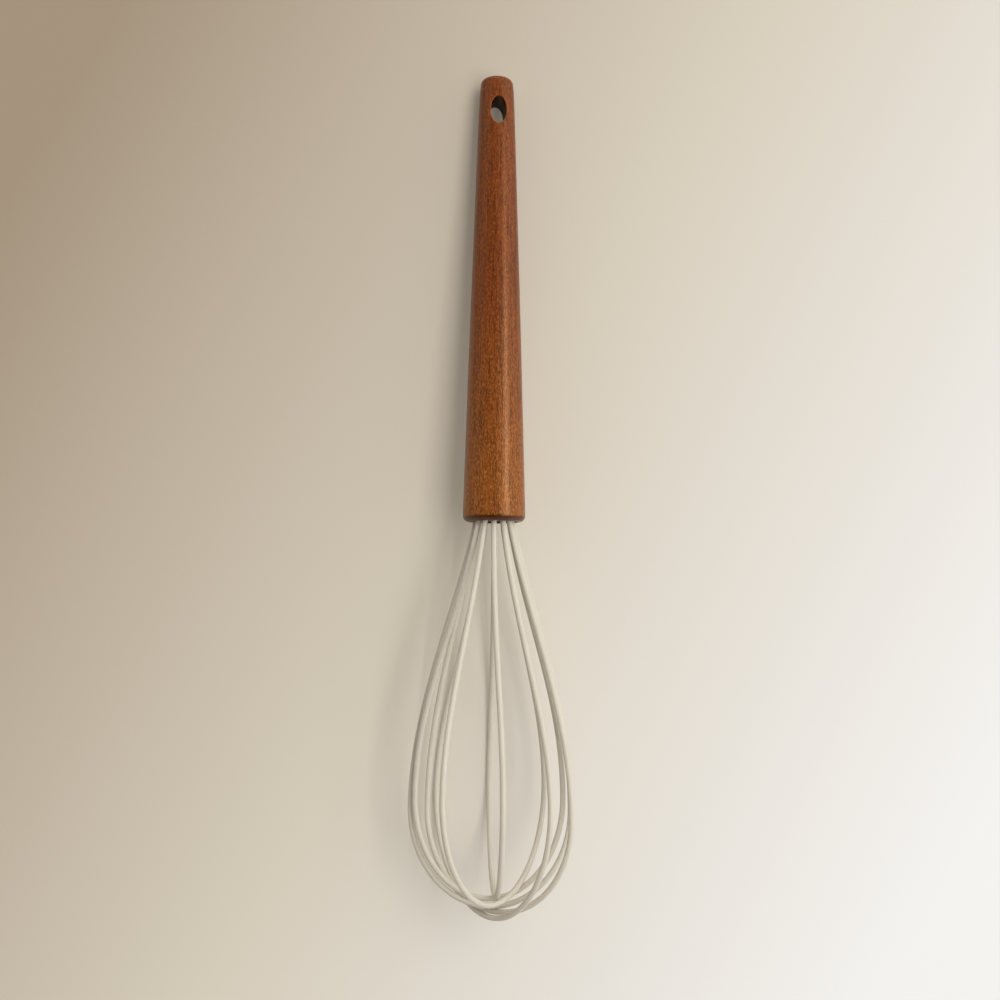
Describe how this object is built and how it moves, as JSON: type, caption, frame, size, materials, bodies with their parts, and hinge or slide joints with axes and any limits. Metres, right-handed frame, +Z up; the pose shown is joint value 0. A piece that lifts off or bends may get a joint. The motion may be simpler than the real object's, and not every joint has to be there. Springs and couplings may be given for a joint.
{
  "type": "balloon whisk",
  "caption": "Kitchen balloon whisk with a tapered wooden handle, an oval hanging hole and silicone-coated spring wire loops, for beating and mixing by hand.",
  "frame": {"origin": "on the surface that the whisk lies on, under the middle of its box", "axes": "+Z up from the surface, +Y along the whisk towards the hanging end, +X across it"},
  "size_m": [0.0572, 0.2998, 0.0601],
  "materials": {
    "wood": "oiled hardwood, straight grain, satin",
    "silicone": "cream silicone, smooth and matt",
    "spring_steel": "drawn stainless spring wire",
    "plug_plastic": "dark brown moulded plastic, matt",
    "resin": "set potting resin, amber"
  },
  "bodies": {
    "root": {"handle": "wood", "wire_plug": "plug_plastic", "resin_slug": "resin", "wire_core_1": "spring_steel", "wire_core_2": "spring_steel", "wire_core_3": "spring_steel", "wire_core_4": "spring_steel", "wire_core_5": "spring_steel", "wire_core_6": "spring_steel", "silicone_sleeve_1": "silicone", "silicone_sleeve_2": "silicone", "silicone_sleeve_3": "silicone", "silicone_sleeve_4": "silicone", "silicone_sleeve_5": "silicone", "silicone_sleeve_6": "silicone"}
  },
  "joints": []
}
